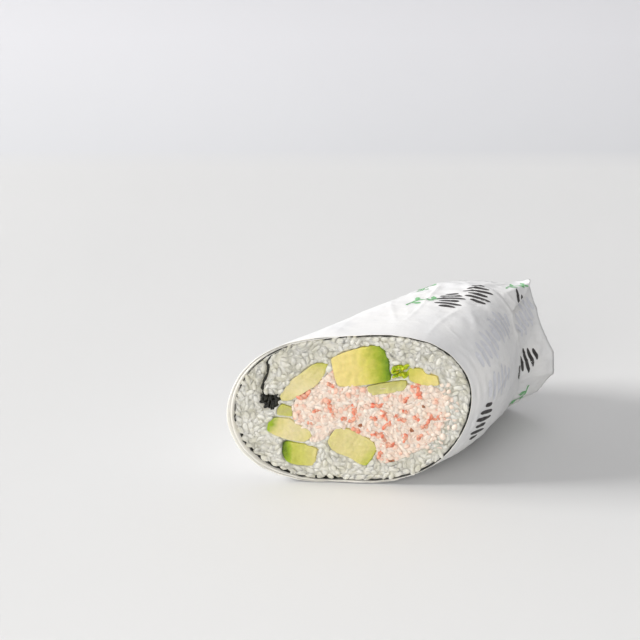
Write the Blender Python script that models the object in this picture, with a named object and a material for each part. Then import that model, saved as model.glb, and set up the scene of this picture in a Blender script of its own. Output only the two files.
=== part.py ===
"""One half of a sushi burrito, cut on the slant and still in its paper.

The roll lies on its side with its axis along Y. The slanted cut is at the front and the
folded end of the paper at the back. Sections are drawn in X and Z as someone facing the
front sees them. Y counts from the middle of the cut until the finished model is centred.
"""

import math
import random

import bmesh
import bpy
from mathutils import Vector

# Driving sizes, in metres and radians.
ROLL_RADIUS = 0.0314
OVAL = 0.0028
OVAL_LEAN = math.radians(15.5)
EGG = 0.0005
EGG_LEAN = math.radians(48.6)
SQUARE = 0.0008
SQUARE_LEAN = math.radians(41.2)
AXIS_X = -0.0005
AXIS_HEIGHT = 0.0294
CUT_ANGLE = math.radians(38)
FILLING_LENGTH = 0.056
FOOD_LENGTH = 0.062
FULL_UNTIL = 0.030
CREASE_AT = 0.070
WRAP_LENGTH = 0.092
STATIONS = (0.030, 0.038, 0.046, 0.054, 0.062, 0.070, 0.081, 0.092)
END_DISH = 0.0040

# Thicknesses of the layers and the gap left between neighbours.
GAP = 0.0003
NORI_THICK = 0.0003
PAPER_THICK = 0.00035
LAP_STANDS_OFF = 0.0014
NORI_EASE = 0.00015
RICE_INSET = NORI_EASE + NORI_THICK + GAP
FLOOR_CLEARANCE = 2 * PAPER_THICK + 2 * GAP

# Outlines of the paper where it creases and at its folded end, in millimetres: X across, Z up.
CREASE_OUTLINE = [
    (17.5, 52.3), (19.1, 48.6), (21.4, 41.1), (22.2, 35.2), (22.2, 26.9), (20.8, 20.2), (18.6, 13.7),
    (12.5, 7.6), (5.0, 3.4), (-5.0, 1.4), (-14.0, 1.6), (-24.0, 6.0), (-30.5, 14.0), (-33.0, 26.0),
    (-31.5, 38.0), (-25.0, 48.4), (-15.8, 54.4), (-6.0, 57.4), (3.0, 58.2), (11.5, 56.8),
]  # fmt: skip
END_OUTLINE = [
    (9.8, 56.4), (17.8, 37.8), (23.0, 30.0), (24.1, 21.7), (17.2, 11.5), (4.5, 3.2),
    (-15.0, 2.2), (-27.0, 13.0), (-28.0, 33.0), (-22.0, 48.2),
]  # fmt: skip

# Outlines of the fillings on a section, in millimetres: X across, Z above the table.
AVOCADO_WEDGE = [
    (-6.7, 49.1), (-2.6, 51.5), (1.6, 53.4), (4.9, 54.2), (6.9, 54.0), (8.5, 52.0),
    (9.6, 47.4), (10.1, 41.0), (7.3, 40.1), (3.1, 39.1), (-1.1, 38.3), (-4.6, 38.1), (-5.6, 42.3),
]  # fmt: skip
AVOCADO_TIP = [(15.0, 46.1), (18.6, 45.9), (20.0, 44.0), (23.1, 43.2), (23.7, 39.5), (19.8, 39.4), (15.3, 41.1)]
CUCUMBERS = [
    [(-21.0, 33.9), (-17.7, 40.2), (-14.6, 43.2), (-11.3, 46.8), (-7.4, 47.0), (-8.7, 41.9),
     (-11.1, 37.8), (-15.7, 34.1), (-17.7, 32.3), (-20.4, 32.0)],
    [(-20.6, 30.8), (-17.4, 29.4), (-17.5, 25.9), (-19.7, 26.2), (-21.9, 26.4), (-21.8, 28.4)],
    [(-24.8, 20.1), (-24.3, 23.4), (-22.6, 25.4), (-18.0, 25.0), (-16.3, 23.0), (-11.9, 20.2),
     (-11.9, 18.1), (-14.0, 15.8), (-18.3, 16.5), (-22.6, 18.4)],
    [(-20.2, 16.0), (-18.2, 15.7), (-13.9, 14.9), (-10.3, 13.3), (-10.8, 10.2), (-11.4, 6.4),
     (-16.2, 6.5), (-19.1, 7.8), (-20.6, 11.1)],
    [(-5.3, 21.7), (-1.4, 21.8), (1.6, 19.8), (5.5, 17.0), (6.7, 14.1), (5.2, 10.0),
     (3.7, 7.0), (1.5, 7.9), (-1.4, 10.5), (-5.8, 12.2), (-7.6, 16.4)],
    [(3.6, 38.6), (7.6, 39.9), (14.5, 41.3), (14.7, 39.2), (13.9, 37.5), (10.7, 36.4), (5.1, 35.1), (3.9, 36.6)],
]  # fmt: skip
CRAB_SALAD = [
    (-17.2, 31.4), (-15.0, 33.7), (-10.9, 37.3), (-8.3, 41.2), (-6.2, 45.6), (-5.2, 41.0), (0.0, 38.6),
    (4.5, 37.4), (12.6, 38.6), (16.2, 40.0), (23.6, 38.8), (25.6, 34.8), (25.6, 28.3), (24.5, 21.8),
    (20.8, 15.8), (16.2, 12.1), (11.9, 9.4), (7.4, 8.2), (6.3, 12.0), (3.6, 18.4), (-1.8, 22.0),
    (-6.6, 20.8), (-8.1, 17.4), (-10.8, 15.6), (-12.8, 16.7), (-12.6, 20.5), (-16.8, 24.2), (-17.3, 28.1),
]  # fmt: skip
LETTUCE_SPACE = [(10.7, 46.6), (14.7, 46.9), (14.9, 44.4), (14.9, 42.2), (10.7, 41.9)]
LETTUCE_PATH = [(11.4, 46.0), (12.6, 45.3), (13.8, 46.0), (14.2, 44.7), (12.8, 44.1), (11.5, 44.4), (11.7, 43.0), (13.8, 43.0)]
LETTUCE_THICK = 0.0006
CRUMPLE_SPACE = [(-26.7, 34.6), (-22.6, 34.7), (-22.0, 31.6), (-22.5, 27.8), (-25.1, 27.8), (-27.0, 31.0)]
TAIL_PATH = [
    (-24.5, 46.8), (-24.3, 44.4), (-25.2, 40.3), (-26.2, 37.4), (-25.7, 34.7), (-26.0, 32.8),
    (-25.4, 31.3), (-24.8, 33.4), (-23.9, 33.1), (-24.6, 29.0), (-23.7, 28.9), (-22.9, 33.0), (-22.6, 30.4),
]  # fmt: skip
TAIL_STRAIGHT = 6

# How the nori laps over itself at the top left, as angles round the roll.
NORI_START = math.radians(139)
NORI_FULL_RADIUS_AT = math.radians(95)
NORI_LAP = math.radians(12)

# The paper's outer turn runs from the top left, round the left side and under the roll.
LAP_START = math.radians(98)
LAP_SETTLES = math.radians(262)
LAP_END = math.radians(296)

# Loose pieces on the cut face.
GRAIN_LENGTH = 0.0053
GRAIN_WIDTH = 0.0026
GRAIN_SPACING = 0.0019
FLAKE_LENGTH = 0.0044
FLAKE_WIDTH = 0.0019
FLAKE_SPACING = 0.0020
CORE_RECESS = 0.0010
PIECE_MARGIN = 0.00015

AROUND = 64
MM = 0.001

# Base colour (linear), roughness.
PAPER = ((0.80, 0.80, 0.79), 0.62)
NORI = ((0.012, 0.014, 0.012), 0.45)
RICE = ((0.78, 0.78, 0.72), 0.38)
CRAB = ((0.82, 0.60, 0.50), 0.45)
AVOCADO = ((0.64, 0.64, 0.16), 0.42)
CUCUMBER = ((0.56, 0.62, 0.22), 0.30)
LEAF = ((0.22, 0.44, 0.03), 0.40)


def clear_scene():
    for obj in list(bpy.data.objects):
        bpy.data.objects.remove(obj, do_unlink=True)


def material(name, look):
    colour, roughness = look
    made = bpy.data.materials.new(name)
    made.use_nodes = True
    shader = made.node_tree.nodes["Principled BSDF"]
    shader.inputs["Base Color"].default_value = (*colour, 1)
    shader.inputs["Roughness"].default_value = roughness
    return made


def add_object(name, points, faces, finish=None):
    mesh = bpy.data.meshes.new(name)
    mesh.from_pydata([tuple(p) for p in points], [], faces)
    obj = bpy.data.objects.new(name, mesh)
    bpy.context.scene.collection.objects.link(obj)
    outward = bmesh.new()
    outward.from_mesh(mesh)
    bmesh.ops.recalc_face_normals(outward, faces=outward.faces)
    outward.to_mesh(mesh)
    outward.free()
    if finish:
        mesh.materials.append(finish)
    return obj


def as_helper(obj):
    obj.hide_render = True
    obj.display_type = "WIRE"
    return obj


# Sections of the roll.
def oval_radius(angle):
    """The nori's outer radius where the roll is full."""
    return (
        ROLL_RADIUS
        + OVAL * math.cos(2 * (angle - OVAL_LEAN))
        + EGG * math.cos(3 * (angle - EGG_LEAN))
        + SQUARE * math.cos(4 * (angle - SQUARE_LEAN))
    )


def reach(outline, angle):
    """How far a ray from the axis goes before it meets the outline."""
    ray = Vector((math.cos(angle), math.sin(angle)))
    for a, b in zip(outline, outline[1:] + outline[:1]):
        edge = b - a
        across = ray.x * edge.y - ray.y * edge.x
        if abs(across) < 1e-12:
            continue
        length = (a.x * edge.y - a.y * edge.x) / across
        along = (a.x * ray.y - a.y * ray.x) / across
        if length > 0 and -1e-6 <= along <= 1 + 1e-6:
            return length
    return oval_radius(angle)


def from_axis(outline):
    return [Vector((x * MM - AXIS_X, z * MM - AXIS_HEIGHT)) for x, z in outline]


def section_radius(angle, y):
    """The full roll, then its taper to the crease, then the squashed end."""
    if y <= FULL_UNTIL:
        return oval_radius(angle)
    crease = reach(rounded(rounded(from_axis(CREASE_OUTLINE))), angle)
    if y <= CREASE_AT:
        share = ((y - FULL_UNTIL) / (CREASE_AT - FULL_UNTIL)) ** 2
        return (1 - share) * oval_radius(angle) + share * crease
    share = (y - CREASE_AT) / (WRAP_LENGTH - CREASE_AT)
    return (1 - share) * crease + share * reach(from_axis(END_OUTLINE), angle)


def section_point(angle, y, offset=0.0):
    """A point on the roll's skin, or offset outwards from it, flattened where it meets the table."""
    radius = section_radius(angle, y) + offset
    z = AXIS_HEIGHT + radius * math.sin(angle)
    return Vector((AXIS_X + radius * math.cos(angle), y, max(z, FLOOR_CLEARANCE - offset, PAPER_THICK / 2)))


def cut_y(x):
    """How far forward or back the slanted cut is at x."""
    return x * math.tan(CUT_ANGLE)


def ring_angles():
    """Even steps round the roll, with the nearest step moved onto each corner of the folded end."""
    angles = [2 * math.pi * i / AROUND for i in range(AROUND)]
    for point in from_axis(END_OUTLINE):
        corner = math.atan2(point.y, point.x) % (2 * math.pi)
        nearest = min(range(AROUND), key=lambda i: abs(angles[i] - corner))
        angles[nearest] = corner
    return angles


def lengthwise(x, end, steps=5):
    """Places along the roll: a few steps from the slanted cut at x, then the stations up to the end."""
    start = cut_y(x)
    fixed = [s for s in STATIONS if s < end - 1e-6] + [end]
    return [start + (fixed[0] - start) * i / steps for i in range(steps)] + fixed


# Solids made from outlines.
def metres(outline):
    return [Vector((x * MM, z * MM)) for x, z in outline]


def rounded(outline):
    """The closed outline with each corner cut once, which rounds it."""
    made = []
    for a, b in zip(outline, outline[1:] + outline[:1]):
        made += [a.lerp(b, 0.25), a.lerp(b, 0.75)]
    return made


def area(outline):
    return sum(a.x * b.y - b.x * a.y for a, b in zip(outline, outline[1:] + outline[:1])) / 2


def grown(outline, by):
    """The closed outline moved outwards by a distance."""
    turn = 1 if area(outline) > 0 else -1
    made = []
    for before, here, after in zip(outline[-1:] + outline[:-1], outline, outline[1:] + outline[:1]):
        first, second = (here - before).normalized(), (after - here).normalized()
        out = Vector((first.y + second.y, -first.x - second.x)) * turn
        sharpness = max(0.5, out.length / 2)
        made.append(here + out.normalized() * by / sharpness)
    return made


def prism(name, outline, end, finish=None, proud=0.0, start=None):
    """The outline run along the roll, from the slanted cut, or from start, to end."""
    count = len(outline)
    front = [Vector((p.x, cut_y(p.x) - proud if start is None else start, p.y)) for p in outline]
    back = [Vector((p.x, end, p.y)) for p in outline]
    sides = [(i, (i + 1) % count, count + (i + 1) % count, count + i) for i in range(count)]
    caps = [tuple(range(count))[::-1], tuple(range(count, 2 * count))]
    return add_object(name, front + back, sides + caps, finish)


def ribbon(name, lines, thick, finish=None):
    """A sheet of even thickness. Each line of points runs across the sheet, front to back."""
    rows, columns = len(lines), len(lines[0])

    def normal(i, j):
        along = lines[min(i + 1, rows - 1)][j] - lines[max(i - 1, 0)][j]
        return along.cross(Vector((0, 1, 0))).normalized()

    outer = [lines[i][j] + normal(i, j) * thick / 2 for i in range(rows) for j in range(columns)]
    inner = [lines[i][j] - normal(i, j) * thick / 2 for i in range(rows) for j in range(columns)]
    half = rows * columns
    faces = []
    for i in range(rows - 1):
        for j in range(columns - 1):
            a, b = i * columns + j, (i + 1) * columns + j
            faces += [(a, b, b + 1), (a, b + 1, a + 1)]
            faces += [(half + a, half + b + 1, half + b), (half + a, half + a + 1, half + b + 1)]
    rim = [i * columns for i in range(rows)]
    rim += [(rows - 1) * columns + j for j in range(1, columns)]
    rim += [i * columns + columns - 1 for i in range(rows - 2, -1, -1)]
    rim += list(range(columns - 2, 0, -1))
    for a, b in zip(rim, rim[1:] + rim[:1]):
        faces.append((a, half + a, half + b, b))
    return add_object(name, outer + inner, faces, finish)


def boolean(obj, tool, operation):
    change = obj.modifiers.new(operation.lower(), "BOOLEAN")
    change.operation = operation
    change.solver = "EXACT"
    if isinstance(tool, bpy.types.Collection):
        change.operand_type = "COLLECTION"
        change.collection = tool
    else:
        change.object = tool


def apply_modifiers(obj):
    """Keeps the shape that the modifiers give and removes them."""
    bpy.context.view_layer.update()
    graph = bpy.context.evaluated_depsgraph_get()
    shape = bpy.data.meshes.new_from_object(obj.evaluated_get(graph))
    finish = list(obj.data.materials)
    obj.modifiers.clear()
    obj.data = shape
    if finish and not shape.materials:
        shape.materials.append(finish[0])


def cut_away(obj, cutters):
    for cutter in cutters:
        boolean(obj, cutter, "DIFFERENCE")
    apply_modifiers(obj)


def fuse(obj, pieces):
    """Joins the pieces to the object in one union, and removes them."""
    group = bpy.data.collections.new(obj.name + "_pieces")
    bpy.context.scene.collection.children.link(group)
    for piece in pieces:
        group.objects.link(piece)
        bpy.context.scene.collection.objects.unlink(piece)
    boolean(obj, group, "UNION")
    apply_modifiers(obj)
    for piece in pieces:
        bpy.data.objects.remove(piece, do_unlink=True)
    bpy.data.collections.remove(group)


def keep_largest_body(obj):
    """Drops scraps that a cut left loose."""
    shape = bmesh.new()
    shape.from_mesh(obj.data)
    todo, bodies = set(shape.verts), []
    while todo:
        body, edge = set(), [todo.pop()]
        while edge:
            here = edge.pop()
            body.add(here)
            for link in here.link_edges:
                there = link.other_vert(here)
                if there in todo:
                    todo.remove(there)
                    edge.append(there)
        bodies.append(body)
    largest = max(bodies, key=len)
    bmesh.ops.delete(shape, geom=[v for body in bodies if body is not largest for v in body], context="VERTS")
    shape.to_mesh(obj.data)
    shape.free()


# Places for the loose pieces on the cut face.
def inside(outline, p):
    found = False
    for a, b in zip(outline, outline[1:] + outline[:1]):
        if (a.y > p.y) != (b.y > p.y) and p.x < a.x + (b.x - a.x) * (p.y - a.y) / (b.y - a.y):
            found = not found
    return found


def distance(outline, p):
    nearest = 1.0
    for a, b in zip(outline, outline[1:] + outline[:1]):
        edge = b - a
        share = min(1, max(0, (p - a).dot(edge) / edge.length_squared))
        nearest = min(nearest, (a + edge * share - p).length)
    return nearest


def lump_points(centre, along, size, tilt):
    """Corners of a twelve-cornered lump that lies in the cut, turned by along and tipped by tilt."""
    golden = (1 + math.sqrt(5)) / 2
    norm = math.hypot(1, golden)
    shape = [(s * 1.0, t * golden, 0.0) for s in (-1, 1) for t in (-1, 1)]
    shape = [tuple(c[(k + i) % 3] for i in range(3)) for c in shape for k in range(3)]
    sideways = Vector((math.cos(CUT_ANGLE), math.sin(CUT_ANGLE), 0))
    outwards = Vector((math.sin(CUT_ANGLE), -math.cos(CUT_ANGLE), 0))
    up = Vector((0, 0, 1))
    long_way = (sideways * math.cos(along) + up * math.sin(along)) * math.cos(tilt) + outwards * math.sin(tilt)
    wide_way = -sideways * math.sin(along) + up * math.cos(along)
    thick_way = long_way.cross(wide_way)
    ways = [way * extent / 2 / norm for way, extent in zip((long_way, wide_way, thick_way), size)]
    return [centre + sum((way * c for way, c in zip(ways, corner)), Vector()) for corner in shape]


def lump(name, points):
    shape = bmesh.new()
    for p in points:
        shape.verts.new(p)
    bmesh.ops.convex_hull(shape, input=shape.verts)
    mesh = bpy.data.meshes.new(name)
    shape.to_mesh(mesh)
    shape.free()
    obj = bpy.data.objects.new(name, mesh)
    bpy.context.scene.collection.objects.link(obj)
    return obj


def scatter_lumps(name, bounds, fits, size, spacing, tries, seed):
    """Lumps strewn over part of the cut face, none closer than the spacing and none that doesn't fit."""
    draw = random.Random(seed)
    low, high = bounds
    taken, made = [], []
    for _ in range(tries):
        x, z = draw.uniform(low.x, high.x), draw.uniform(low.y, high.y)
        along, tilt = draw.uniform(0, math.pi), draw.uniform(-0.35, 0.35)
        scale = draw.uniform(0.75, 1.05)
        sunk = draw.uniform(0.0002, 0.0008)
        if not fits(Vector((x, z)), 2 * PIECE_MARGIN):
            continue
        centre = Vector((x, cut_y(x) + sunk, z))
        reach = Vector((math.cos(along), math.sin(along))) * size[0] * scale / 4
        ends = [Vector((x / math.cos(CUT_ANGLE), z)) + reach * s for s in (-1, 1)]
        if any((a - b).length < spacing for a in ends for b in taken):
            continue
        points = lump_points(centre, along, (size[0] * scale, size[1], size[2]), tilt)
        if not all(fits(Vector((p.x, p.z)), PIECE_MARGIN) for p in points):
            continue
        taken += ends
        made.append(lump(f"{name}_{len(made)}", points))
    return made


# The pieces of the burrito.
def nori_lines(path, stop):
    """Lines across the nori sheet: up the tail's path, then round the roll to the angle stop."""
    turns = [a - turn * 2 * math.pi for turn in (0, 1) for a in ring_angles()]
    angles = sorted([a for a in turns if stop < a < NORI_START - 0.02] + [NORI_START, stop], reverse=True)
    lines = [[Vector((p.x, y, p.y)) for y in lengthwise(p.x, FOOD_LENGTH)] for p in reversed(path)]
    middle = -NORI_THICK / 2 - NORI_EASE
    tucked = NORI_THICK + GAP
    for angle in angles:
        share = min(1, max(0, (NORI_START - NORI_LAP - angle) / (NORI_START - NORI_LAP - NORI_FULL_RADIUS_AT)))
        offset = middle - tucked * (1 - share)
        x = section_point(angle, 0, offset).x
        lines.append([section_point(angle, y, offset) for y in lengthwise(x, FOOD_LENGTH)])
    return lines


def make_nori(finish):
    """The sheet with its crumpled inner edge, tail and one whole turn with a lap."""
    stop = NORI_START - 2 * math.pi - NORI_LAP
    return ribbon("nori_sheet", nori_lines(metres(TAIL_PATH), stop), NORI_THICK, finish)


def make_nori_clearance():
    """What the rice leaves free: the tail, and the turn as far as it lies inside the rice's outline."""
    lines = nori_lines(metres(TAIL_PATH[:TAIL_STRAIGHT]), NORI_FULL_RADIUS_AT)
    return as_helper(ribbon("nori_clearance", lines, NORI_THICK + 2 * GAP))


def tube_rings(offset):
    """Rings along the paper tube, from the cut to the folded end."""
    columns = []
    for angle in ring_angles():
        x = section_point(angle, 0, offset).x
        columns.append([section_point(angle, y, offset) for y in lengthwise(x, WRAP_LENGTH)])
    return [list(ring) for ring in zip(*columns)]


def end_ring(offset, inward, depth):
    """A ring on the paper's end face, shrunk towards the axis."""
    centre = Vector((AXIS_X, 0, AXIS_HEIGHT))
    ring = []
    for angle in ring_angles():
        rim = section_point(angle, WRAP_LENGTH, offset)
        p = centre.lerp(Vector((rim.x, 0, rim.z)), inward)
        ring.append(Vector((p.x, WRAP_LENGTH - depth, p.z)))
    return ring


def make_paper(finish):
    """The paper tube, closed by its folded end, with the outer turn that stands off at the left."""
    outside, within = GAP + PAPER_THICK, GAP
    wall = PAPER_THICK * 1.5
    rings = tube_rings(outside)
    rings += [end_ring(outside, 0.72, END_DISH * 0.8), end_ring(outside, 0.3, END_DISH)]
    inner = tube_rings(within)[:-1]
    inner += [end_ring(within, 0.985, 0.0016)]
    inner += [end_ring(within, 0.72, END_DISH * 0.8 + wall), end_ring(within, 0.3, END_DISH + wall)]
    loops = list(reversed(inner)) + rings
    count = len(loops[0])
    points = [p for ring in loops for p in ring]
    faces = []
    for k in range(len(loops) - 1):
        for i in range(count):
            a, b = k * count + i, k * count + (i + 1) % count
            faces.append((a, b, b + count, a + count))
    faces.append(tuple(range(count)))
    faces.append(tuple(range(len(points) - count, len(points)))[::-1])
    tube = add_object("paper_wrap", points, faces, finish)
    fuse(tube, [make_lap()])
    return tube


def make_lap():
    """The outer turn: it leaves the tube at the top left, stands off at the side and ends under the roll."""
    steps = 34
    lines = []
    for i in range(steps + 1):
        angle = LAP_START + (LAP_END - LAP_START) * i / steps
        share = min(1, (angle - LAP_START) / (LAP_SETTLES - LAP_START))
        leaves = min(1, (angle - LAP_START) / math.radians(9))
        lift = (GAP + LAP_STANDS_OFF * math.sin(math.pi * share) ** 0.8) * leaves
        offset = GAP + PAPER_THICK * (0.5 + leaves) + lift
        x = section_point(angle, 0, offset).x
        lines.append([section_point(angle, y, offset) for y in lengthwise(x, CREASE_AT)])
    return ribbon("lap", lines, PAPER_THICK)


def bounds_of(outline):
    return (
        Vector((min(p.x for p in outline), min(p.y for p in outline))),
        Vector((max(p.x for p in outline), max(p.y for p in outline))),
    )


def make_fillings(finishes):
    """Every filling strip, each cut back from the ones before it. Returns the spaces they take up."""
    strips = [("avocado_wedge", AVOCADO_WEDGE, "avocado"), ("avocado_tip", AVOCADO_TIP, "avocado")]
    strips += [(f"cucumber_{i + 1}", outline, "cucumber") for i, outline in enumerate(CUCUMBERS)]
    spaces, cutters = [], []
    for name, outline, kind in strips:
        shape = rounded(metres(outline))
        piece = prism(name, shape, FILLING_LENGTH, finishes[kind], proud=0.0004)
        cut_away(piece, cutters)
        spaces.append(grown(shape, GAP))
        cutters.append(clearance(name, spaces[-1]))
    return spaces, cutters


def clearance(name, space, end=FILLING_LENGTH + GAP):
    """A cutter a little larger than a filling all round."""
    return as_helper(prism(name + "_clearance", space, end, start=cut_y(-ROLL_RADIUS) - 0.02))


def make_lettuce(finish):
    path = metres(LETTUCE_PATH)
    columns = 18
    lines = []
    for i, p in enumerate(path):
        start = cut_y(p.x) - 0.0004
        line = []
        for j in range(columns + 1):
            y = start + (FILLING_LENGTH - start) * j / columns
            wave = 0.00025 * math.sin(j * 1.1 + i * 0.9)
            line.append(Vector((p.x + wave, y, p.y + wave)))
        lines.append(line)
    return ribbon("lettuce_leaf", lines, LETTUCE_THICK, finish)


def make_crab(finish, spaces, cutters):
    """The crab salad fills what the strips leave of its outline, with flakes standing out at the cut."""
    outline = rounded(metres(CRAB_SALAD))
    core = prism("crab_salad", outline, FILLING_LENGTH, finish, proud=-CORE_RECESS * 0.6)
    cut_away(core, cutters)
    keep_largest_body(core)

    def fits(p, margin):
        return (
            inside(outline, p)
            and distance(outline, p) > margin
            and all(not inside(s, p) and distance(s, p) > margin for s in spaces)
        )

    size = (FLAKE_LENGTH, FLAKE_WIDTH, FLAKE_WIDTH)
    fuse(core, scatter_lumps("flake", bounds_of(outline), fits, size, FLAKE_SPACING, 3000, seed=5))
    return outline


def make_rice(finish, spaces, cutters, nori_cutter):
    """The rice fills the nori, less the fillings, with whole grains standing out at the cut."""
    inset = RICE_INSET + 0.0001
    columns = []
    for angle in ring_angles():
        x = section_point(angle, 0, -inset).x
        places = lengthwise(x, FOOD_LENGTH)
        places[0] += CORE_RECESS
        columns.append([section_point(angle, y, -inset) for y in places])
    rings = list(zip(*columns))
    count = len(columns)
    last = (len(rings) - 1) * count
    points = [p for ring in rings for p in ring]
    faces = [tuple(range(count)), tuple(range(last, last + count))[::-1]]
    for j in range(len(rings) - 1):
        for i in range(count):
            a, b = j * count + i, j * count + (i + 1) % count
            faces.append((a, a + count, b + count, b))
    core = add_object("rice", points, faces, finish)
    cut_away(core, cutters + [nori_cutter])
    keep_largest_body(core)
    rim = [Vector((p.x, p.z)) for p in (section_point(a, 0, -inset - 2 * GAP) for a in ring_angles())]
    tail = metres(TAIL_PATH[:TAIL_STRAIGHT])
    start = section_point(NORI_START, 0, 0)
    tail = [Vector((start.x, start.z))] + tail
    there_and_back = tail + tail[-2:0:-1]

    def fits(p, margin):
        return (
            inside(rim, p)
            and distance(rim, p) > margin
            and all(not inside(s, p) and distance(s, p) > margin for s in spaces)
            and distance(there_and_back, p) > NORI_THICK / 2 + GAP + margin
        )

    size = (GRAIN_LENGTH, GRAIN_WIDTH, GRAIN_WIDTH * 0.9)
    fuse(core, scatter_lumps("grain", bounds_of(rim), fits, size, GRAIN_SPACING, 9000, seed=11))


def centre_on_footprint(outermost):
    """Moves the whole model so that the middle of its footprint is the origin."""
    bpy.context.view_layer.update()
    corners = [outermost.matrix_world @ v.co for v in outermost.data.vertices]
    middle = [(min(p[k] for p in corners) + max(p[k] for p in corners)) / 2 for k in (0, 1)]
    lowest = min(p.z for p in corners)
    root = bpy.data.objects.new("burrito_half", None)
    bpy.context.scene.collection.objects.link(root)
    for obj in list(bpy.context.scene.objects):
        if obj is not root:
            obj.parent = root
    root.location = (-middle[0], -middle[1], -lowest)


def build():
    clear_scene()
    finishes = {
        "avocado": material("avocado_flesh", AVOCADO),
        "cucumber": material("cucumber_flesh", CUCUMBER),
    }
    paper = make_paper(material("white_paper", PAPER))
    make_nori(material("toasted_nori", NORI))
    spaces, cutters = make_fillings(finishes)
    make_lettuce(material("lettuce_green", LEAF))
    for name, outline, end in (("lettuce", LETTUCE_SPACE, FILLING_LENGTH + GAP), ("crumple", CRUMPLE_SPACE, WRAP_LENGTH)):
        spaces.append(grown(rounded(metres(outline)), GAP))
        cutters.append(clearance(name, spaces[-1], end))
    crab_outline = make_crab(material("crab_and_mayo", CRAB), spaces, cutters)
    spaces.append(grown(crab_outline, GAP))
    cutters.append(clearance("crab_salad", spaces[-1]))
    make_rice(material("sushi_rice", RICE), spaces, cutters, make_nori_clearance())
    centre_on_footprint(paper)


build()
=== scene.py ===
"""Looks of one sushi burrito half, cut on the slant and still in its paper.

Lengths are in millimetres until add_mesh turns them into metres. Sections are drawn in X and Z;
Y runs from the slanted cut at the front to the folded end of the paper at the back.
"""

import math

import bpy
import numpy as np
from mathutils import Matrix, Vector


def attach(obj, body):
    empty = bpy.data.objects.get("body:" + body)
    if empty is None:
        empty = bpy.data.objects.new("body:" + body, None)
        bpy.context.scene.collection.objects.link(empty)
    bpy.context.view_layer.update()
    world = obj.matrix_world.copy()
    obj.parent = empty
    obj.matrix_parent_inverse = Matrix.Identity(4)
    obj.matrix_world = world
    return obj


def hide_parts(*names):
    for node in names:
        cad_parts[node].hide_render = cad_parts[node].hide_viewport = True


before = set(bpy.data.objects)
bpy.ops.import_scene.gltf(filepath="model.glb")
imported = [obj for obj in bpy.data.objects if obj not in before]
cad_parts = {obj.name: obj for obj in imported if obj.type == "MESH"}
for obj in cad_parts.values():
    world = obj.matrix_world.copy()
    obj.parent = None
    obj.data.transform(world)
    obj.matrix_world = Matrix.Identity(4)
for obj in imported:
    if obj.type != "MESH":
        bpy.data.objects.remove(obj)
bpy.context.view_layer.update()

# The roll's shape, as in the part.
SHIFT = np.array([1.8318, -31.7162, 0.0])
AXIS = np.array([-0.5, 29.4])
CUT = math.radians(38)
OUTWARDS = np.array([math.sin(CUT), -math.cos(CUT), 0])  # out of the cut face
FULL_UNTIL, CREASE_AT, WRAP_LENGTH = 30.0, 70.0, 92.0
FOOD_LENGTH, FILLING_LENGTH = 62.0, 56.0
FLOOR_CLEARANCE = 1.3
# The full section: a mean radius, and waves round it with their number, height and lean in degrees.
MEAN_RADIUS = 31.4
OVAL_WAVES = [(2, 2.8, 15.5), (3, 0.5, 48.6), (4, 0.8, 41.2)]
CREASE_OUTLINE = [
    (17.5, 52.3), (19.1, 48.6), (21.4, 41.1), (22.2, 35.2), (22.2, 26.9), (20.8, 20.2), (18.6, 13.7),
    (12.5, 7.6), (5.0, 3.4), (-5.0, 1.4), (-14.0, 1.6), (-24.0, 6.0), (-30.5, 14.0), (-33.0, 26.0),
    (-31.5, 38.0), (-25.0, 48.4), (-15.8, 54.4), (-6.0, 57.4), (3.0, 58.2), (11.5, 56.8),
]
END_OUTLINE = [
    (10.9, 54.2), (17.8, 37.8), (23.0, 30.0), (24.1, 21.7), (17.2, 11.5), (4.5, 3.2),
    (-15.0, 2.2), (-27.0, 13.0), (-28.0, 33.0), (-22.0, 48.2),
]

# Fillings on a section.
AVOCADO_WEDGE = [
    (-6.7, 49.1), (-2.6, 51.5), (1.6, 53.4), (4.9, 54.2), (6.9, 54.0), (8.5, 52.0),
    (9.6, 47.4), (10.1, 41.0), (7.3, 40.1), (3.1, 39.1), (-1.1, 38.3), (-4.6, 38.1), (-5.6, 42.3),
]
AVOCADO_TIP = [
    (15.0, 46.1), (18.6, 45.9), (20.0, 44.0), (23.1, 43.2), (23.7, 39.5), (19.8, 39.4), (15.3, 41.1),
]
CUCUMBERS = [
    [(-21.0, 33.9), (-17.7, 40.2), (-14.6, 43.2), (-11.3, 46.8), (-7.4, 47.0), (-8.7, 41.9),
     (-11.1, 37.8), (-15.7, 34.1), (-17.7, 32.3), (-20.4, 32.0)],
    [(-20.6, 30.8), (-17.4, 29.4), (-17.5, 25.9), (-19.7, 26.2), (-21.9, 26.4), (-21.8, 28.4)],
    [(-24.8, 20.1), (-24.3, 23.4), (-22.6, 25.4), (-18.0, 25.0), (-16.3, 23.0), (-11.9, 20.2),
     (-11.9, 18.1), (-14.0, 15.8), (-18.3, 16.5), (-22.6, 18.4)],
    [(-20.2, 16.0), (-18.2, 15.7), (-13.9, 14.9), (-10.3, 13.3), (-10.8, 10.2), (-11.4, 6.4),
     (-16.2, 6.5), (-19.1, 7.8), (-20.6, 11.1)],
    [(-5.3, 21.7), (-1.4, 21.8), (1.6, 19.8), (5.5, 17.0), (6.7, 14.1), (5.2, 10.0),
     (3.7, 7.0), (1.5, 7.9), (-1.4, 10.5), (-5.8, 12.2), (-7.6, 16.4)],
    [(3.6, 38.6), (7.6, 39.9), (14.5, 41.3), (14.7, 39.2), (13.9, 37.5), (10.7, 36.4),
     (5.1, 35.1), (3.9, 36.6)],
]
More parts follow.
